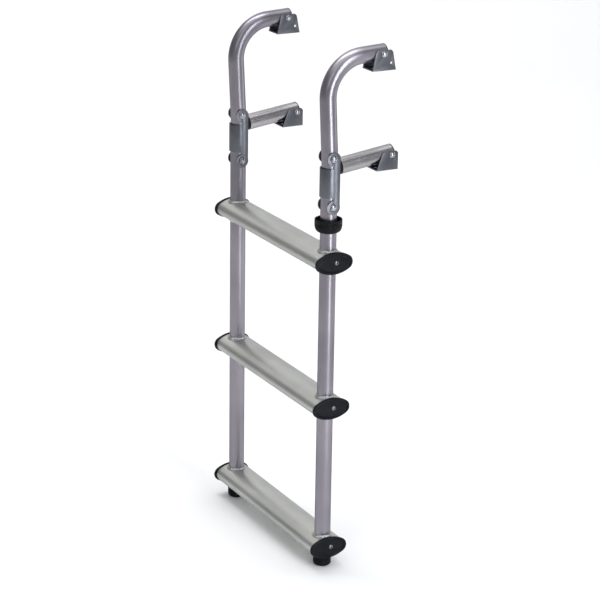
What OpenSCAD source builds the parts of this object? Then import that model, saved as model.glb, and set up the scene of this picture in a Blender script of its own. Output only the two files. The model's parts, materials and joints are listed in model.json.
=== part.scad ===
// Folding boat boarding ladder: two hook rails with deck brackets and
// stand-off arms, a double-pivot channel hinge and a three-step lower section.
// +X right along the steps, +Y towards the boat, +Z up. The origin is on the
// deck plane, midway between the two deck brackets.

/* [Tubes] */
// Outside diameter of every tube
tube_d = 25.4; // [20:0.1:32]
// Tube wall thickness
tube_wall = 1.7; // [1:0.1:3]
// Distance between the two rail axes
rail_pitch = 300; // [250:1:400]

/* [Hooks] */
// Height of the hook's level run above the upper hinge bolt
hook_rise = 148; // [120:1:220]
// Distance from the rail axis to the deck pivot, along the hook
hook_reach = 90; // [70:1:160]
// Centre-line radius of the hook bend
bend_r = 60; // [40:1:80]
// Forward lean of the hook rails
lean = 3; // [0:0.5:6]

/* [Stand-off arms] */
// Depth of the arm axis below the upper hinge bolt
arm_drop = 17; // [15:1:20]
// Upward slope of the arm from square to its rail
arm_rise = 4.5; // [0:0.5:8]
// Distance from the rail axis to the hull pivot, along the arm
arm_reach = 100.5; // [80:0.5:160]

/* [Hinge channel] */
// Distance between the two hinge bolts
pivot_pitch = 75; // [70:1:100]
// Channel sheet thickness
channel_t = 1.6; // [1.2:0.1:2.5]
// Radius of the rounded ends
tab_r = 11; // [10:0.5:13]

/* [Steps] */
// Vertical distance between steps
step_pitch = 236; // [200:1:300]
// Height of the bottom step's centre above the feet
step_base = 36; // [34:1:60]
// Step depth, front to back
step_depth = 59; // [50:1:80]
// Step thickness
step_thick = 32.6; // [28:0.2:40]
// Small corner radius of the step section
step_nose_r = 11; // [9:0.5:14]
// Step wall thickness
step_wall = 2.2; // [1.5:0.1:3]
// Overhang of the end cap's face past the rail axis
step_over = 22; // [20:0.5:30]

/* [Lower section] */
// Height of the lower hinge bolt above the feet
lower_h = 594; // [500:1:700]
// Outside diameter of the feet
foot_d = 28.8; // [27:0.2:36]

/* [Lock collar] */
// Outside diameter of the collar's cup
collar_d = 42.6; // [42:0.2:48]
// Collar height
collar_h = 20.5; // [18:0.5:26]
// Drop of the collar's rim below the lower hinge bolt
collar_drop = 20; // [20:0.5:30]

/* [Brackets] */
// Bracket sheet thickness
plate_t = 2; // [1.5:0.5:3]
// Spacing of the two fixing holes in each bracket
fix_pitch = 22; // [16:1:28]
// Diameter of the fixing holes
fix_d = 6.5; // [5:0.5:8]

/* [Hidden] */
$fn = 64;
tube_r = tube_d/2;
bore_r = tube_r - tube_wall;
side_gap = 0.4;
run_gap = 0.05;
rail_x = rail_pitch/2;

// pivots
deck_h = 25;
hull_h = 23;
hinge_y = -(hook_reach*cos(lean) - hook_rise*sin(lean));
hinge_z = deck_h - hook_reach*sin(lean) - hook_rise*cos(lean);
knee_z = hinge_z - pivot_pitch;
floor_z = knee_z - lower_h;
tail = 33;
arm_a = lean + arm_rise;
arm_back = arm_reach*cos(arm_a) + arm_drop*sin(lean);
arm_up = arm_reach*sin(arm_a) - arm_drop*cos(lean);

// channel
chan_in = tube_r + side_gap;
chan_out = chan_in + channel_t;
chan_back = 10.5;
web_cut = 15;

// bolts
hinge_bolt_r = 3.5;
hinge_head_r = 5.6;
pin_bolt_r = 3;
pin_head_r = 5.2;
head_h = 2.6;
bracket_in = tube_r + 0.6;
bracket_out = bracket_in + plate_t;
washer_gap = 0.4;
hook_end = hook_reach + 6.5;
arm_end = arm_reach + 4.8;
arm_start = 16;
plug_t = 1.6;
plug_deep = 4;
hook_plug_deep = 3;
arm_plug_deep = 1.5;

// steps
step_a = step_depth/2;
step_b = step_thick/2;
cap_t = 4.5;
cap_grow_y = 2.6;
cap_grow_z = 1.3;
cap_rim = 3;
cap_floor = 2;
step_half = rail_x + step_over - cap_t;
boss_r = 4.4;
boss_y = 4.5;
weld_h = 2.2;
weld_foot = 3.6;
weld_toe = 0.5;
screw_r = 1.8;

tube_col = [0.78, 0.79, 0.82];
step_col = [0.74, 0.75, 0.74];
steel_col = [0.62, 0.63, 0.65];
bright_col = [0.85, 0.86, 0.87];
black_col = [0.05, 0.05, 0.055];

// ---------- helpers ----------

module tube(len) {
  difference() {
    cylinder(r = tube_r, h = len);
    translate([0, 0, -1]) cylinder(r = bore_r, h = len + 2);
  }
}

module cross(r, half) {
  rotate([0, 90, 0]) translate([0, 0, -half]) cylinder(r = r, h = 2*half);
}

// places children in the leaning frame of one upper hinge bolt
module upper(side) {
  translate([side*rail_x, hinge_y, hinge_z]) rotate([lean, 0, 0]) children();
}

// places children along one stand-off arm, +Z outwards from the rail axis
module along_arm(side) {
  upper(side) translate([0, 0, -arm_drop]) rotate([arm_rise - 90, 0, 0]) children();
}

module at_knee(side) {
  translate([side*rail_x, hinge_y, knee_z]) children();
}

module at_floor(side) {
  translate([side*rail_x, hinge_y, floor_z]) children();
}

module dome(r, h) {
  ball = (r*r + h*h)/(2*h);
  intersection() {
    translate([0, 0, h - ball]) sphere(r = ball);
    cylinder(r = r, h = h);
  }
}

// ---------- upper section ----------

module hook_rail(side) {
  upper(side) difference() {
    union() {
      translate([0, 0, -tail]) tube(tail + hook_rise - bend_r);
      translate([0, bend_r, hook_rise - bend_r]) rotate([90, 0, -90])
        rotate_extrude(angle = 90) translate([bend_r, 0]) difference() {
          circle(r = tube_r);
          circle(r = bore_r);
        }
      translate([0, bend_r, hook_rise]) rotate([-90, 0, 0]) tube(hook_end - bend_r);
    }
    cross(hinge_bolt_r + run_gap, tube_r + 1);
    translate([0, hook_reach, hook_rise]) cross(pin_bolt_r + run_gap, tube_r + 1);
    translate([0, 0, -arm_drop]) rotate([arm_rise - 90, 0, 0])
      cylinder(r = pin_bolt_r + run_gap, h = tube_r + 2);
  }
}

// flanged plug that closes a tube end, flange outwards along +Z
module end_plug(deep) {
  difference() {
    union() {
      cylinder(r = tube_r, h = plug_t);
      translate([0, 0, -deep]) cylinder(r = bore_r - run_gap, h = deep);
    }
    translate([0, 0, -deep - 1]) cylinder(r = bore_r - 2, h = deep + 1);
    translate([0, 0, plug_t - 0.5]) cylinder(r = tube_r - 3, h = 1);
  }
}

module hook_end_plugs() {
  color(black_col) for (s = [-1, 1])
    upper(s) translate([0, hook_end, hook_rise]) rotate([-90, 0, 0]) end_plug(hook_plug_deep);
}

module rail_tail_plugs() {
  color(black_col) for (s = [-1, 1])
    upper(s) translate([0, 0, -tail]) rotate([180, 0, 0]) end_plug(plug_deep);
}

module standoff_arm(side) {
  along_arm(side) difference() {
    translate([0, 0, arm_start]) tube(arm_end - arm_start);
    translate([0, 0, arm_reach]) cross(pin_bolt_r + run_gap, tube_r + 1);
  }
}

// saddle between rail and arm, with the spigot that fills the arm's end
module arm_saddles() {
  color(black_col) for (s = [-1, 1]) difference() {
    along_arm(s) union() {
      translate([0, 0, 4]) cylinder(r = tube_r, h = arm_start - 4);
      translate([0, 0, arm_start]) cylinder(r = bore_r - run_gap, h = 14);
    }
    upper(s) translate([0, 0, -2*tail]) cylinder(r = tube_r + run_gap, h = 3*tail);
    along_arm(s) cylinder(r = pin_bolt_r + run_gap, h = arm_start + 20);
  }
}

module arm_tie_bolts() {
  color(bright_col) for (s = [-1, 1]) along_arm(s) {
    translate([0, 0, 6]) cylinder(r = pin_bolt_r, h = arm_start + 18);
    translate([0, 0, 6]) cylinder(r = 4.6, h = 3);
    translate([0, 0, arm_start + 14 + run_gap]) cylinder(r = 5, h = 5, $fn = 6);
  }
}

module arm_end_plugs() {
  color(black_col) for (s = [-1, 1]) along_arm(s)
    translate([0, 0, arm_end]) end_plug(arm_plug_deep);
}

// bolt through a bracket, head on the outer side of the ladder
module pivot_bolt() {
  half = bracket_out + washer_gap;
  rotate([0, 90, 0]) {
    translate([0, 0, -half - 3.4]) cylinder(r = pin_bolt_r, h = 2*half + 3.4);
    translate([0, 0, half]) dome(pin_head_r, head_h);
  }
}

module pivot_nut() {
  half = bracket_out + washer_gap;
  rotate([0, -90, 0]) translate([0, 0, half]) difference() {
    union() {
      cylinder(r = 5.8, h = 2.4, $fn = 6);
      translate([0, 0, 2.4]) dome(4.8, 2.8);
    }
    translate([0, 0, -1]) cylinder(r = pin_bolt_r + run_gap, h = 4.5);
  }
}

module at_deck_pin(side) {
  translate([side*rail_x, 0, deck_h]) children();
}

module at_hull_pin(side) {
  translate([side*rail_x, hinge_y + arm_back, hinge_z + arm_up]) children();
}

module pivot_bolts() {
  color(bright_col) for (s = [-1, 1]) {
    at_deck_pin(s) pivot_bolt();
    at_hull_pin(s) pivot_bolt();
  }
}

module pivot_nuts() {
  color(bright_col) for (s = [-1, 1]) {
    at_deck_pin(s) pivot_nut();
    at_hull_pin(s) pivot_nut();
  }
}

// ---------- hinge ----------

// flat flange outline, drawn with X as depth and Y as height
module flange_2d() {
  circle(r = tab_r);
  translate([0, pivot_pitch]) circle(r = tab_r);
  translate([-1, 0]) square([1 + chan_back, pivot_pitch]);
}

module hinge_channel(side) {
  at_knee(side) difference() {
    union() {
      for (s = [-1, 1]) translate([s*(chan_in + channel_t/2) - channel_t/2, 0, 0])
        rotate([90, 0, 90]) linear_extrude(channel_t) flange_2d();
      translate([0, 0, web_cut]) difference() {
        cylinder(r = chan_out, h = pivot_pitch - 2*web_cut);
        translate([0, 0, -1]) cylinder(r = chan_in, h = pivot_pitch);
        translate([-chan_out - 1, 0, -1]) cube([2*chan_out + 2, chan_out + 1, pivot_pitch]);
      }
    }
    for (z = [0, pivot_pitch])
      translate([0, 0, z]) cross(hinge_bolt_r + run_gap, chan_out + 1);
  }
}

module hinge_bolts() {
  color(bright_col) for (s = [-1, 1]) at_knee(s) for (z = [0, pivot_pitch])
    translate([0, 0, z]) rotate([0, 90, 0]) {
      translate([0, 0, -chan_out - 1.4]) cylinder(r = hinge_bolt_r, h = 2*chan_out + 1.4);
      translate([0, 0, chan_out]) dome(hinge_head_r, 3);
    }
}

module hinge_nuts() {
  color(bright_col) for (s = [-1, 1]) at_knee(s) for (z = [0, pivot_pitch])
    translate([0, 0, z]) rotate([0, -90, 0]) translate([0, 0, chan_out]) difference() {
      dome(hinge_head_r, 3);
      translate([0, 0, -1]) cylinder(r = hinge_bolt_r + run_gap, h = 2.5);
    }
}

// ---------- lower section ----------

rail_foot = 3;
rail_len = lower_h + tail - rail_foot;

module side_rail(side) {
  at_floor(side) difference() {
    translate([0, 0, rail_foot]) tube(rail_len);
    translate([0, 0, lower_h]) cross(hinge_bolt_r + run_gap, tube_r + 1);
  }
}

module rail_top_plugs() {
  color(black_col) for (s = [-1, 1]) at_floor(s)
    translate([0, 0, lower_h + tail]) end_plug(plug_deep);
}

// four-arc oval: depth a, height b (half sizes), nose radius r
module oval(a, b, r) {
  big = (pow(a - r, 2) + b*b - r*r)/(2*(b - r));
  tip = (a - r) + r*(a - r)/(big - r);
  intersection() {
    translate([0, b - big]) circle(r = big, $fn = 180);
    translate([0, big - b]) circle(r = big, $fn = 180);
    square([2*tip, 2*b + 1], center = true);
  }
  for (s = [-1, 1]) translate([s*(a - r), 0]) circle(r = r);
}

module step_2d() {
  difference() {
    oval(step_a, step_b, step_nose_r);
    oval(step_a - step_wall, step_b - step_wall, step_nose_r - step_wall);
  }
  translate([boss_y, 0]) difference() {
    union() {
      square([step_wall, step_thick - step_wall], center = true);
      circle(r = boss_r);
    }
    circle(r = screw_r);
  }
}

module step_bar(level) {
  color(step_col)
  translate([0, hinge_y, floor_z + step_base + level*step_pitch]) difference() {
    union() {
      translate([-step_half, 0, 0]) rotate([90, 0, 90]) linear_extrude(2*step_half) step_2d();
      for (s = [-1, 1]) for (m = [0, 1]) translate([s*rail_x, 0, 0]) mirror([0, 0, m])
        translate([0, 0, step_b - step_wall])
          cylinder(r1 = tube_r + weld_foot, r2 = tube_r + weld_toe, h = step_wall + weld_h);
    }
    for (s = [-1, 1]) translate([s*rail_x, 0, -step_thick])
      cylinder(r = tube_r + run_gap, h = 2*step_thick);
  }
}

module cap_face(grow) {
  oval(step_a + cap_grow_y - grow, step_b + cap_grow_z - grow, step_nose_r + 1 - grow);
}

module end_cap(side, level) {
  fit = step_wall + run_gap;
  color(black_col)
  translate([0, hinge_y, floor_z + step_base + level*step_pitch]) mirror([side < 0 ? 1 : 0, 0, 0])
    translate([step_half, 0, 0]) rotate([90, 0, 90]) difference() {
      union() {
        linear_extrude(cap_t) cap_face(0);
        translate([0, 0, -3.8]) linear_extrude(3.8) difference() {
          oval(step_a - fit, step_b - fit, step_nose_r - fit);
          oval(step_a - fit - 2, step_b - fit - 2, step_nose_r - fit - 2);
          translate([boss_y, 0]) square([step_wall + 1, step_thick], center = true);
        }
      }
      translate([0, 0, cap_floor]) linear_extrude(cap_t) cap_face(cap_rim);
      translate([boss_y, 0, -5]) cylinder(r = screw_r + 0.3, h = 10);
    }
}

module cap_screws() {
  color(bright_col) for (k = [0, 1, 2]) for (s = [-1, 1])
    translate([0, hinge_y, floor_z + step_base + k*step_pitch]) mirror([s < 0 ? 1 : 0, 0, 0])
      translate([step_half, boss_y, 0]) rotate([0, 90, 0]) {
        translate([0, 0, -4]) cylinder(r = screw_r - run_gap, h = 4 + cap_floor);
        translate([0, 0, cap_floor]) dome(4.2, 2.2);
      }
}

module foot(side) {
  round_r = 5;
  foot_r = foot_d/2;
  top = step_base - step_b - weld_h - 0.3;
  color(black_col) at_floor(side) difference() {
    union() {
      translate([0, 0, round_r]) cylinder(r = foot_r, h = top - round_r);
      cylinder(r = foot_r - round_r, h = round_r);
      translate([0, 0, round_r]) rotate_extrude() intersection() {
        translate([foot_r - round_r, 0]) circle(r = round_r);
        translate([0, -round_r]) square([foot_r, 2*round_r]);
      }
    }
    translate([0, 0, rail_foot]) cylinder(r = tube_r + run_gap, h = top);
  }
}

// ---------- lock collar ----------

collar_neck = 7.5;
collar_in = tube_r + 0.35;
cup_wall = 1.9;

module lock_collar() {
  out = collar_d/2;
  color(black_col)
  translate([rail_x, hinge_y, knee_z - collar_drop - collar_h]) {
    rotate_extrude() polygon([[collar_in, 0], [collar_in + 2.4, 0], [out - 2.9, 1.9],
      [out - 1.1, 4.8], [out - 0.2, 8.2], [out, 11], [out, collar_h],
      [out - cup_wall, collar_h], [out - cup_wall, 10], [out - 3.6, collar_neck],
      [collar_in, collar_neck]]);
    translate([out - 1, -4, 10.5]) cube([2.6, 8, 5.5]);
  }
}

// ---------- brackets ----------

// small side holes for a safety pin
lock_y = 12;
lock_z = 11;
lock_r = 2;

module fixing_holes(y0) {
  for (d = [-0.5, 0.5]) translate([0, y0 + d*fix_pitch, -1]) cylinder(r = fix_d/2, h = plate_t + 2);
}

// side plate outline, drawn with X as depth and Y as height above the base
module deck_side_2d() {
  polygon([[-20, 0], [20, 0], [14.5, 28], [11.5, 31], [-11.5, 31], [-14.5, 28]]);
}

module hull_side_2d() {
  polygon([[-27, 0], [10, 0], [10, 26], [7, 29], [-14.5, 29], [-17.5, 26]]);
}

module bracket(y_lo, y_hi) {
  for (s = [-1, 1]) translate([s*(bracket_in + plate_t/2) - plate_t/2, 0, 0])
    rotate([90, 0, 90]) linear_extrude(plate_t) children();
  translate([-bracket_out, y_lo, 0]) cube([2*bracket_out, y_hi - y_lo, plate_t]);
}

module deck_bracket(side) {
  translate([side*rail_x, 0, 0]) difference() {
    bracket(-20, 20) deck_side_2d();
    translate([0, 0, deck_h]) cross(pin_bolt_r + run_gap, bracket_out + 1);
    translate([0, lock_y, lock_z]) cross(lock_r, bracket_out + 1);
    fixing_holes(0);
  }
}

module hull_bracket(side) {
  at_hull_pin(side) translate([0, 0, -hull_h]) difference() {
    bracket(-27, 10) hull_side_2d();
    translate([0, 0, hull_h]) cross(pin_bolt_r + run_gap, bracket_out + 1);
    fixing_holes(-8.5);
  }
}

// ---------- nodes ----------

module hook_rail_left() { color(tube_col) hook_rail(-1); }
module hook_rail_right() { color(tube_col) hook_rail(1); }
module standoff_arm_left() { color(tube_col) standoff_arm(-1); }
module standoff_arm_right() { color(tube_col) standoff_arm(1); }
module hinge_channel_left() { color(steel_col) hinge_channel(-1); }
module hinge_channel_right() { color(steel_col) hinge_channel(1); }
module side_rail_left() { color(tube_col) side_rail(-1); }
module side_rail_right() { color(tube_col) side_rail(1); }
module step_top() { step_bar(2); }
module step_middle() { step_bar(1); }
module step_bottom() { step_bar(0); }
module cap_top_left() { end_cap(-1, 2); }
module cap_top_right() { end_cap(1, 2); }
module cap_middle_left() { end_cap(-1, 1); }
module cap_middle_right() { end_cap(1, 1); }
module cap_bottom_left() { end_cap(-1, 0); }
module cap_bottom_right() { end_cap(1, 0); }
module foot_left() { foot(-1); }
module foot_right() { foot(1); }
module deck_bracket_left() { color(steel_col) deck_bracket(-1); }
module deck_bracket_right() { color(steel_col) deck_bracket(1); }
module hull_bracket_left() { color(steel_col) hull_bracket(-1); }
module hull_bracket_right() { color(steel_col) hull_bracket(1); }

hook_rail_left();
hook_rail_right();
hook_end_plugs();
rail_tail_plugs();
standoff_arm_left();
standoff_arm_right();
arm_saddles();
arm_tie_bolts();
arm_end_plugs();
pivot_bolts();
pivot_nuts();
hinge_channel_left();
hinge_channel_right();
hinge_bolts();
hinge_nuts();
side_rail_left();
side_rail_right();
rail_top_plugs();
step_top();
step_middle();
step_bottom();
cap_top_left();
cap_top_right();
cap_middle_left();
cap_middle_right();
cap_bottom_left();
cap_bottom_right();
cap_screws();
foot_left();
foot_right();
lock_collar();
deck_bracket_left();
deck_bracket_right();
hull_bracket_left();
hull_bracket_right();
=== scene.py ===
import json
import math

import bmesh
import bpy
from mathutils import Matrix, Vector

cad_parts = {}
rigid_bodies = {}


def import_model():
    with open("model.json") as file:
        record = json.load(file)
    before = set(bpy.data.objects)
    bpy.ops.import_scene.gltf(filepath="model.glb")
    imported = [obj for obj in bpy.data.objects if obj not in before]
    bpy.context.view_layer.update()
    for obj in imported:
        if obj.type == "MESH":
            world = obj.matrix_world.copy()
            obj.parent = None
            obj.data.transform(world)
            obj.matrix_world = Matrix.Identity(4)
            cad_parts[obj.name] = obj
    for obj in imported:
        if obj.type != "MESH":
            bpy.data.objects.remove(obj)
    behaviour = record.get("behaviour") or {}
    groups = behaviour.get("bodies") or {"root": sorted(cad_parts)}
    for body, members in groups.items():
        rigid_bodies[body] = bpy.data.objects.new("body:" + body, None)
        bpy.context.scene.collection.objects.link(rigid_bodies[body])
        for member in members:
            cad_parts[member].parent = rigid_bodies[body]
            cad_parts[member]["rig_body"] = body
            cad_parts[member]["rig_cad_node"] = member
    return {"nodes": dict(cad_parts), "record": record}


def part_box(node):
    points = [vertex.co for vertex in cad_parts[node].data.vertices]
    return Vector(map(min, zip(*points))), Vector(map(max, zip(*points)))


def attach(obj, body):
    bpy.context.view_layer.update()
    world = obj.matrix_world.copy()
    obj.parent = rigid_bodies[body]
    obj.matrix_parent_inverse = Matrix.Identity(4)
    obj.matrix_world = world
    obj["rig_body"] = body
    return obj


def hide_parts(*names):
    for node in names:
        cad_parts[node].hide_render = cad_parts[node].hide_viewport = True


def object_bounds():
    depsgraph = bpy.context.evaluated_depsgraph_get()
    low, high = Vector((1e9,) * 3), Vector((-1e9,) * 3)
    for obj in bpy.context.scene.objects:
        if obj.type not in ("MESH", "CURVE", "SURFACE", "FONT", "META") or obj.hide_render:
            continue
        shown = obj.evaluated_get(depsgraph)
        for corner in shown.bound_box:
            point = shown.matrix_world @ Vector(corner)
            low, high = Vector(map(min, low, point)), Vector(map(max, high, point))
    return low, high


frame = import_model()
nodes = frame["nodes"]
cad_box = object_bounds()
MM = 0.001

# ---------------------------------------------------------------- materials


def shader(name):
    """A new material with its Principled shader and an object-space coordinate."""
    m = bpy.data.materials.new(name)
    m.use_nodes = True
    tree = m.node_tree
    bsdf = tree.nodes["Principled BSDF"]
    coord = tree.nodes.new("ShaderNodeTexCoord").outputs["Object"]
    return m, tree, bsdf, coord


def noise(tree, coord, scale, detail=4.0, rough=0.55):
    """Noise in metres of object space; scale is (x, y, z) in cycles per metre."""
    mapping = tree.nodes.new("ShaderNodeMapping")
    mapping.inputs["Scale"].default_value = scale
    tree.links.new(coord, mapping.inputs["Vector"])
    tex = tree.nodes.new("ShaderNodeTexNoise")
    tex.inputs["Scale"].default_value = 1.0
    tex.inputs["Detail"].default_value = detail
    tex.inputs["Roughness"].default_value = rough
    tree.links.new(mapping.outputs["Vector"], tex.inputs["Vector"])
    return tex.outputs["Fac"]


def spread(tree, fac, low, high, lo_in=0.3, hi_in=0.7):
    """fac from lo_in..hi_in mapped to low..high."""
    r = tree.nodes.new("ShaderNodeMapRange")
    for key, v in (("From Min", lo_in), ("From Max", hi_in), ("To Min", low), ("To Max", high)):
        r.inputs[key].default_value = v
    tree.links.new(fac, r.inputs["Value"])
    return r.outputs["Result"]


def two_tone(tree, fac, dark, light):
    mix = tree.nodes.new("ShaderNodeMix")
    mix.data_type = "RGBA"
    mix.inputs[6].default_value = (*dark, 1)
    mix.inputs[7].default_value = (*light, 1)
    tree.links.new(fac, mix.inputs[0])
    return mix.outputs[2]


def bump(tree, height, distance, strength, under=None):
    b = tree.nodes.new("ShaderNodeBump")
    b.inputs["Distance"].default_value = distance
    b.inputs["Strength"].default_value = strength
    tree.links.new(height, b.inputs["Height"])
    if under is not None:
        tree.links.new(under, b.inputs["Normal"])
    return b.outputs["Normal"]


def metal(name, dark, light, grain, rough, lines=0.12, edge=0.5, cloud=9.0):
    """Anodised or brushed metal: fine lines along one axis, soft clouding, faint handling marks.

    edge is the tint at grazing angles: lower makes the rim of a tube darker.
    """
    m, t, bsdf, co = shader(name)
    fine = noise(t, co, grain, 3.0, 0.6)
    clouds = noise(t, co, (cloud,) * 3, 3.0, 0.5)
    marks = noise(t, co, (70, 70, 45), 6.0, 0.7)
    t.links.new(two_tone(t, spread(t, clouds, 0, 1), dark, light), bsdf.inputs["Base Color"])
    bsdf.inputs["Metallic"].default_value = 1.0
    bsdf.inputs["Specular Tint"].default_value = (edge, edge, edge * 1.04, 1)
    add = t.nodes.new("ShaderNodeMath")
    add.operation = "ADD"
    t.links.new(spread(t, fine, rough[0], rough[1]), add.inputs[0])
    t.links.new(spread(t, marks, 0.0, 0.035, 0.5, 0.75), add.inputs[1])
    t.links.new(add.outputs[0], bsdf.inputs["Roughness"])
    t.links.new(bump(t, fine, 0.00003, lines), bsdf.inputs["Normal"])
    return m


def moulded(name, dark, light, rough, grain, depth, shine):
    """Moulded plastic or rubber: fine spark texture, soft colour drift, scuffs."""
    m, t, bsdf, co = shader(name)
    fine = noise(t, co, (grain,) * 3, 2.0, 0.5)
    drift = noise(t, co, (60,) * 3, 4.0, 0.6)
    scuff = noise(t, co, (420, 420, 160), 5.0, 0.75)
    t.links.new(two_tone(t, spread(t, drift, 0, 1), dark, light), bsdf.inputs["Base Color"])
    t.links.new(spread(t, scuff, rough[0], rough[1], 0.35, 0.7), bsdf.inputs["Roughness"])
    bsdf.inputs["Specular IOR Level"].default_value = shine
    t.links.new(bump(t, fine, depth, 0.35), bsdf.inputs["Normal"])
    return m


ROUND, ALONG_X, ALONG_Y, ALONG_Z = (1400, 1400, 1400), (12, 2600, 2600), (2600, 12, 2600), (2600, 2600, 12)
tube_light, tube_dark = (0.33, 0.31, 0.345), (0.23, 0.215, 0.245)
tube_z = metal("tube_upright", tube_dark, tube_light, ALONG_Z, (0.30, 0.40), 0.1)
tube_y = metal("tube_level", (0.34, 0.325, 0.335), (0.46, 0.44, 0.45), ALONG_Y, (0.22, 0.30), 0.1)
tube_bend = metal("tube_bent", tube_dark, tube_light, (900, 700, 700), (0.29, 0.37), 0.03)
step_metal = metal("step_satin", (0.43, 0.435, 0.405), (0.53, 0.535, 0.505), ALONG_X, (0.34, 0.46), 0.2, 0.7)
sheet_metal = metal("sheet_brushed", (0.125, 0.13, 0.15), (0.19, 0.195, 0.215), ALONG_Z, (0.30, 0.42), 0.16)
bright_metal = metal("bolt_polished", (0.28, 0.28, 0.31), (0.40, 0.40, 0.42), ROUND, (0.16, 0.24), 0.04)
screw_metal = metal("screw_zinc", (0.15, 0.15, 0.15), (0.23, 0.23, 0.22), ROUND, (0.24, 0.36), 0.06)
weld_metal = metal("weld", (0.42, 0.43, 0.44), (0.58, 0.59, 0.60), ROUND, (0.22, 0.34), 0.1)
plastic = moulded("cap_plastic", (0.0036, 0.0042, 0.0060), (0.0080, 0.0088, 0.0115),
                  (0.34, 0.50), 2400, 0.00005, 0.13)
rubber = moulded("foot_rubber", (0.0036, 0.0040, 0.0050), (0.0080, 0.0086, 0.0102),
                 (0.48, 0.66), 1500, 0.00009, 0.12)


def paint(obj, material):
    if not obj.data.materials:
        obj.data.materials.append(material)
    for i in range(len(obj.data.materials)):
        obj.data.materials[i] = material


for side in ("left", "right"):
    paint(nodes["hook_rail_" + side], tube_bend)
    paint(nodes["standoff_arm_" + side], tube_y)
    paint(nodes["side_rail_" + side], tube_z)
for level in ("top", "middle", "bottom"):
    paint(nodes["step_" + level], step_metal)
for name in ("pivot_bolts", "pivot_nuts", "arm_tie_bolts"):
    paint(nodes[name], bright_metal)
for name in ("rail_tail_plugs", "rail_top_plugs", "arm_saddles"):
    paint(nodes[name], plastic)

# ---------------------------------------------------------------- mesh helpers


def piece(name, bm, material, body, slot, *replaced):
    mesh = bpy.data.meshes.new(name)
    bmesh.ops.recalc_face_normals(bm, faces=bm.faces)
    bm.to_mesh(mesh)
    bm.free()
    for p in mesh.polygons:
        p.use_smooth = True
    obj = bpy.data.objects.new(name, mesh)
    bpy.context.scene.collection.objects.link(obj)
    paint(obj, material)
    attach(obj, body)
    if replaced:
        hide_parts(*replaced)
    return obj


def skin(bm, rings, close_start=False, close_end=False):
    """Quads between successive closed rings of points."""
    made = [[bm.verts.new(p) for p in ring] for ring in rings]
    for a, b in zip(made, made[1:]):
        n = len(a)
        for i in range(n):
            bm.faces.new((a[i], a[(i + 1) % n], b[(i + 1) % n], b[i]))
    if close_start:
        bm.faces.new(made[0])
    if close_end:
        bm.faces.new(made[-1])
    return made


def lathe(bm, profile, place, n=96):
    """profile is a list of (radius, height); place maps the lathe's +Z frame to the object.

    The first and last rings are each closed by a disc, also where the profile is a closed loop.
    """
    rings = []
    for r, h in profile:
        ring = []
        for i in range(n):
            a = 2 * math.pi * i / n
            ring.append(place @ Vector((r * math.cos(a), r * math.sin(a), h)))
        rings.append(ring)
    skin(bm, rings, profile[0][0] > 0, profile[-1][0] > 0)


def arc(cx, cy, r, a0, a1, n=6):
    """Points of an arc, angles in degrees."""
    out = []
    for i in range(n + 1):
        a = math.radians(a0 + (a1 - a0) * i / n)
        out.append((cx + r * math.cos(a), cy + r * math.sin(a)))
    return out


def axes(origin, x, y, z):
    m = Matrix((x, y, z)).transposed().to_4x4()
    m.translation = origin
    return m


def oval_point(a, b, r, u):
    """Point at parameter u (0..1) of the four-arc oval with half sizes a, b and nose radius r."""
    big = ((a - r) ** 2 + b * b - r * r) / (2 * (b - r))
    half = math.asin((a - r) / (big - r))
    quarter = u * 4
    k, f = int(quarter) % 4, quarter - int(quarter)
    crown, nose = big * half, r * (math.pi / 2 - half)
    s = f * (crown + nose) if k % 2 == 0 else (1 - f) * (crown + nose)
    if s <= crown:
        t = s / big
        y, z = big * math.sin(t), big * math.cos(t) - (big - b)
    else:
        t = half + (s - crown) / r
        y, z = (a - r) + r * math.sin(t), r * math.cos(t)
    sy = 1 if k in (0, 1) else -1
    sz = 1 if k in (0, 3) else -1
    return sy * y, sz * z


def rounded(name, width, material):
    """A CAD node with its cut edges broken by a small bevel."""
    src = nodes[name]
    obj = src.copy()
    obj.data = src.data.copy()
    obj.name = name + "_rounded"
    obj.parent = None
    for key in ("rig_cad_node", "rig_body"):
        if key in obj:
            del obj[key]
    bpy.context.scene.collection.objects.link(obj)
    bm = bmesh.new()
    bm.from_mesh(obj.data)
    bmesh.ops.remove_doubles(bm, verts=bm.verts, dist=1e-6)
    bmesh.ops.dissolve_limit(bm, angle_limit=math.radians(2), verts=bm.verts, edges=bm.edges)
    sharp = [e for e in bm.edges if len(e.link_faces) == 2 and e.calc_face_angle() > math.radians(35)]
    bmesh.ops.bevel(bm, geom=sharp, offset=width, segments=3, profile=0.5, affect="EDGES",
                    clamp_overlap=True)
    bm.to_mesh(obj.data)
    bm.free()
    for p in obj.data.polygons:
        p.use_smooth = True
    obj.data.set_sharp_from_angle(angle=math.radians(40))
    paint(obj, material)
    body = next(b for b, ns in frame["record"]["behaviour"]["bodies"].items() if name in ns)
    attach(obj, body)
    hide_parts(name)
    return obj


for kind in ("hinge_channel", "deck_bracket", "hull_bracket"):
    for side in ("left", "right"):
        rounded(f"{kind}_{side}", 0.4 * MM, sheet_metal)
for name in ("hook_end_plugs", "arm_end_plugs"):
    rounded(name, 0.5 * MM, plastic)

# ---------------------------------------------------------------- end caps

TUBE_R = 12.7 * MM
RAIL_X = 150 * MM
STEP_A, STEP_B, NOSE_R = 29.5 * MM, 16.3 * MM, 11 * MM


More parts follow.
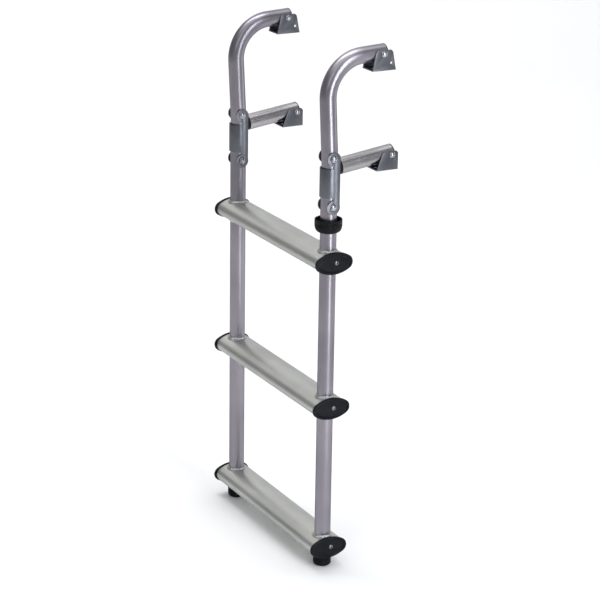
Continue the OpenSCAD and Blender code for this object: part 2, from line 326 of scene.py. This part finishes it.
def end_cap(level, side):
    node = f"cap_{level}_{side}"
    lo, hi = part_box(node)
    s = 1 if side == "right" else -1
    face_x = hi.x if s > 0 else lo.x
    c = (lo + hi) / 2
    a, b = (hi.y - lo.y) / 2, (hi.z - lo.z) / 2
    nose = 12 * MM
    least_nose = 1.2 * MM
    edge_r = 1.5
    # (inset from the outline, distance inboard of the face), in mm
    edge = [(0.9, 4.5), (0.25, 4.3), (0, 3.8), (0, 1.7)]
    edge += [(edge_r - edge_r * math.cos(math.radians(t)), edge_r - edge_r * math.sin(math.radians(t)))
             for t in (15, 35, 55, 75, 90)]
    edge += [(2.4, 0.02), (3.0, 0.25), (3.5, 0.9), (3.9, 1.7), (4.5, 2.2), (5.4, 2.4), (7.0, 2.3),
             (9.0, 2.0), (11.0, 1.75)]
    rings = []
    n = 128
    for inset, depth in edge:
        i = inset * MM
        x = face_x - s * depth * MM
        rr = max(nose - i, least_nose)
        rings.append([Vector((x, c.y + y, c.z + z)) for y, z in
                      (oval_point(a - i, b - i, rr, k / n) for k in range(n))])
    bm = bmesh.new()
    made = skin(bm, rings, close_start=True)
    hub = bm.verts.new((face_x - s * 1.6 * MM, c.y, c.z))
    last = made[-1]
    for k in range(n):
        bm.faces.new((last[k], last[(k + 1) % n], hub))
    piece(f"end_cap_{level}_{side}", bm, plastic, "lower_section", "black_plastic", node)


for level in ("top", "middle", "bottom"):
    for side in ("left", "right"):
        end_cap(level, side)


def cross_head(bm, place, r, h, slot_len, slot_w, deep, n=96, rings=22):
    """Pan head with a cross recess."""
    loops = [[place @ Vector((r * math.cos(2 * math.pi * i / n), r * math.sin(2 * math.pi * i / n), 0))
              for i in range(n)]]
    for k in range(rings, 0, -1):
        f = k / rings
        ring = []
        for i in range(n):
            a = 2 * math.pi * i / n
            x, y = r * f * math.cos(a), r * f * math.sin(a)
            z = h * math.sqrt(max(0.0, 1 - (0.97 * f) ** 2.6))
            near, far = min(abs(x), abs(y)), max(abs(x), abs(y))
            inside = (min(1.0, max(0.0, (slot_w - near) / (0.25 * slot_w)))
                      * min(1.0, max(0.0, (slot_len - far) / (0.25 * slot_len))))
            ring.append(place @ Vector((x, y, z - deep * inside)))
        loops.append(ring)
    made = skin(bm, loops, close_start=True)
    hub = bm.verts.new(place @ Vector((0, 0, h - deep)))
    last = made[-1]
    for i in range(n):
        bm.faces.new((last[i], last[(i + 1) % n], hub))


SCREW_SEAT = 2.5 * MM

bm = bmesh.new()
screw_y = sum(v.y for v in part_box("cap_screws")) / 2
for level in ("top", "middle", "bottom"):
    for side, s in (("left", -1), ("right", 1)):
        lo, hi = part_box(f"cap_{level}_{side}")
        face_x = hi.x if s > 0 else lo.x
        c = (lo + hi) / 2
        place = axes(Vector((face_x - s * SCREW_SEAT, screw_y, c.z)),
                     Vector((0, 1, 0)), Vector((0, 0, s)), Vector((s, 0, 0)))
        cross_head(bm, place, 3.8 * MM, 2.2 * MM, 2.3 * MM, 0.5 * MM, 1.1 * MM)
piece("cap_screw_heads", bm, screw_metal, "lower_section", "bolt_steel", "cap_screws")

# ---------------------------------------------------------------- hinge bolt heads

bm = bmesh.new()
lo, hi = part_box("hinge_bolts")
HEAD_R = 5.6 * MM
z_low, z_high = lo.z + HEAD_R, hi.z - HEAD_R
pin_y = (lo.y + hi.y) / 2
CHAN_OUT = 14.7 * MM
shank = [(3.5 * MM, -2 * CHAN_OUT), (3.5 * MM, 0)]
head = [(5.3, 0), (5.6, 0.25), (5.6, 0.6), (5.35, 1.1), (4.7, 1.75), (3.7, 2.3), (2.6, 2.75),
        (1.8, 2.95), (1.4, 2.9), (1.1, 2.55), (0.6, 2.45), (0.2, 2.45)]
head = [(r * MM, h * MM) for r, h in head]
for rail in (-RAIL_X, RAIL_X):
    for z in (z_low, z_high):
        for s in (-1, 1):
            place = axes(Vector((rail + s * CHAN_OUT, pin_y, z)),
                         Vector((0, 1, 0)), Vector((0, 0, s)), Vector((s, 0, 0)))
            lathe(bm, head, place, 48)
        place = axes(Vector((rail + CHAN_OUT, pin_y, z)),
                     Vector((0, 1, 0)), Vector((0, 0, 1)), Vector((1, 0, 0)))
        lathe(bm, shank, place, 48)
piece("hinge_bolt_heads", bm, bright_metal, "hinge_links", "bolt_steel", "hinge_bolts", "hinge_nuts")

# ---------------------------------------------------------------- weld beads

BIG_R = ((STEP_A - NOSE_R) ** 2 + STEP_B ** 2 - NOSE_R ** 2) / (2 * (STEP_B - NOSE_R))


def crown(y):
    return math.sqrt(BIG_R ** 2 - y * y) - (BIG_R - STEP_B)


def weld_bead(bm, x0, y0, z0, up, steps=240, sides=10):
    """Rippled fillet bead that follows the saddle where a rail leaves a step."""
    rings = []
    for i in range(steps):
        a = 2 * math.pi * i / steps
        ripple = 0.16 * MM * math.cos(34 * a) + 0.08 * MM * math.sin(5 * a + x0 * 40)
        reach = TUBE_R + 1.35 * MM
        y = reach * math.sin(a)
        ring = []
        for k in range(sides):
            t = 2 * math.pi * k / sides
            rr = 1.75 * MM + ripple
            rad = reach + rr * math.cos(t)
            ring.append(Vector((x0 + rad * math.cos(a), y0 + rad * math.sin(a),
                                z0 + up * (crown(y) + 0.25 * MM + rr * math.sin(t)))))
        rings.append(ring)
    made = skin(bm, rings)
    first, last = made[0], made[-1]
    for k in range(sides):
        bm.faces.new((last[k], last[(k + 1) % sides], first[(k + 1) % sides], first[k]))


bm = bmesh.new()
for level in ("top", "middle", "bottom"):
    lo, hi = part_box("cap_" + level + "_right")
    c = (lo + hi) / 2
    for x in (-RAIL_X, RAIL_X):
        for up in (1, -1):
            weld_bead(bm, x, c.y, c.z, up)
piece("weld_beads", bm, weld_metal, "lower_section", "step_aluminium")

# ---------------------------------------------------------------- feet


def foot(side):
    node = "foot_" + side
    lo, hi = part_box(node)
    c = (lo + hi) / 2
    r, top = (hi.x - lo.x) / 2 / MM, (hi.z - lo.z) / MM
    prof = [(0.3, 1.2), (6.0, 1.2), (6.6, 0.9)] + [(7.2, 0.15), (8.6, 0.0)]
    prof += arc(r - 4.6, 4.6, 4.6, -80, 0, 8)
    for z in (8.0, 11.0, 14.0):
        prof += [(r, z - 0.7), (r - 0.55, z - 0.4), (r - 0.7, z), (r - 0.55, z + 0.4), (r, z + 0.7)]
    prof += arc(r - 1.0, top - 1.0, 1.0, 0, 90, 4)
    prof += [(13.0, top - 0.1), (12.76, top - 0.6), (12.76, 3.2), (0.3, 3.1)]
    bm = bmesh.new()
    place = Matrix.Translation(Vector((c.x, c.y, lo.z)))
    lathe(bm, [(q * MM, h * MM) for q, h in prof], place)
    piece("rubber_foot_" + side, bm, rubber, "lower_section", "black_rubber", node)


foot("left")
foot("right")

# ---------------------------------------------------------------- lock collar

lo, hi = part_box("lock_collar")
top = (hi.z - lo.z) / MM
R = (hi.y - lo.y) / 2 / MM
# bowl, groove, rounded rim and inside, as a loop of (radius, height) in mm
prof = [(13.05, 0.5), (13.3, 0.1), (14.0, 0.0), (15.0, 0.05), (16.3, 0.5), (17.9, 1.6), (19.2, 3.2),
        (20.1, 5.0), (20.8, 7.2), (21.15, 9.3), (R, 11.4),
        (R, 13.0), (R - 0.35, 13.5), (R - 0.35, 14.1), (R, 14.6), (R, top - 1.1)]
prof += arc(R - 0.95, top - 0.95, 0.95, 0, 180, 8)
prof += [(R - 1.9, top - 2.0), (R - 1.9, 11.2), (R - 2.6, 9.9), (17.2, 8.2), (15.7, 7.5), (14.0, 7.5),
         (13.3, 7.4), (13.05, 7.0), (13.05, 0.5)]
bm = bmesh.new()
place = Matrix.Translation(Vector((RAIL_X, (lo.y + hi.y) / 2, lo.z)))
lathe(bm, [(q * MM, h * MM) for q, h in prof], place, 128)
tab = bmesh.new()
bmesh.ops.create_cube(tab, size=1.0)
bmesh.ops.scale(tab, vec=(2.6 * MM, 8 * MM, 5.5 * MM), verts=tab.verts)
bmesh.ops.translate(tab, vec=(hi.x - 1.3 * MM, (lo.y + hi.y) / 2, lo.z + 13.25 * MM), verts=tab.verts)
bmesh.ops.bevel(tab, geom=tab.edges[:], offset=0.9 * MM, segments=4, profile=0.5, affect="EDGES")
mesh = bpy.data.meshes.new("tab")
tab.to_mesh(mesh)
tab.free()
bm.from_mesh(mesh)
bpy.data.meshes.remove(mesh)
piece("collar_cup", bm, rubber, "lock_collar", "black_rubber", "lock_collar")

# ---------------------------------------------------------------- studio

floor_z = cad_box[0].z


def studio_floor():
    """Floor that sweeps up into a backdrop behind the object."""
    facing = math.radians(61)
    reach, half_width, height = 14, 14, 7.0
    bend_at, bend_r = 2.2, 1.5
    bm = bmesh.new()
    back = Vector((-math.sin(facing), math.cos(facing), 0))
    across = Vector((math.cos(facing), math.sin(facing), 0))
    prof = [(-reach, 0.0), (0.0, 0.0), (bend_at, 0.0)]
    for t in range(6, 91, 6):
        a = math.radians(t)
        prof.append((bend_at + bend_r * math.sin(a), bend_r - bend_r * math.cos(a)))
    prof.append((bend_at + bend_r, height))
    rows = [[bm.verts.new(back * d + across * w + Vector((0, 0, floor_z + h)))
             for w in (-half_width, half_width)] for d, h in prof]
    for p, q in zip(rows, rows[1:]):
        bm.faces.new((p[0], p[1], q[1], q[0]))
    mesh = bpy.data.meshes.new("studio_floor")
    bm.to_mesh(mesh)
    bm.free()
    for f in mesh.polygons:
        f.use_smooth = True
    obj = bpy.data.objects.new("studio_floor", mesh)
    bpy.context.scene.collection.objects.link(obj)
    m, t, bsdf, co = shader("studio_paper")
    tone = noise(t, co, (3, 3, 3), 2.0)
    grey = two_tone(t, spread(t, tone, 0, 1), (0.90, 0.90, 0.90), (0.92, 0.92, 0.92))
    t.links.new(grey, bsdf.inputs["Base Color"])
    bsdf.inputs["Roughness"].default_value = 0.9
    paint(obj, m)


studio_floor()


def area(name, at, target, size, power, colour=(1, 1, 1)):
    light = bpy.data.lights.new(name, "AREA")
    light.shape = "RECTANGLE"
    light.size, light.size_y = size
    light.energy = power
    light.color = colour
    obj = bpy.data.objects.new(name, light)
    obj.location = at
    obj.rotation_euler = (Vector(target) - Vector(at)).to_track_quat("-Z", "Y").to_euler()
    bpy.context.scene.collection.objects.link(obj)


MID = (0, -0.08, -0.4)
area("key", (1.9, -2.4, 1.6), MID, (0.7, 2.6), 12)
area("strip", (1.32, 0.04, 0.1), (0, -0.08, 0.0), (0.28, 1.7), 14, (0.92, 0.96, 1.0))
area("side", (0.55, 1.9, 0.1), (0, -0.08, 0.0), (0.7, 1.7), 6)
area("top", (-0.4, -0.4, 3.2), MID, (5.0, 5.0), 75)
area("backdrop", (-1.0, -0.3, 3.4), (-3.0, 1.9, 0.4), (3.0, 1.0), 95)

world = bpy.data.worlds.new("studio")
world.use_nodes = True
world.node_tree.nodes["Background"].inputs[0].default_value = (0.93, 0.95, 1.0, 1)
world.node_tree.nodes["Background"].inputs[1].default_value = 0.3
bpy.context.scene.world = world
bpy.context.scene.view_settings.view_transform = "Standard"

# ---------------------------------------------------------------- camera

az, el, roll = (math.radians(v) for v in (61.07, 18.78, 0.87))
right = Vector((math.cos(az), math.sin(az), 0))
ahead = Vector((-math.sin(az), math.cos(az), 0))
up = Vector((0, 0, 1))
look = ahead * math.cos(el) - up * math.sin(el)
above = up * math.cos(el) + ahead * math.sin(el)
cam = bpy.data.cameras.new("camera")
cam.lens = 127.8
cam.sensor_width = 36
cam.clip_end = 50
cam_obj = bpy.data.objects.new("camera", cam)
cam_obj.matrix_world = axes(Vector((2.831, -1.611, 0.696)),
                            right * math.cos(roll) + above * math.sin(roll),
                            above * math.cos(roll) - right * math.sin(roll), -look)
bpy.context.scene.collection.objects.link(cam_obj)
bpy.context.scene.camera = cam_obj
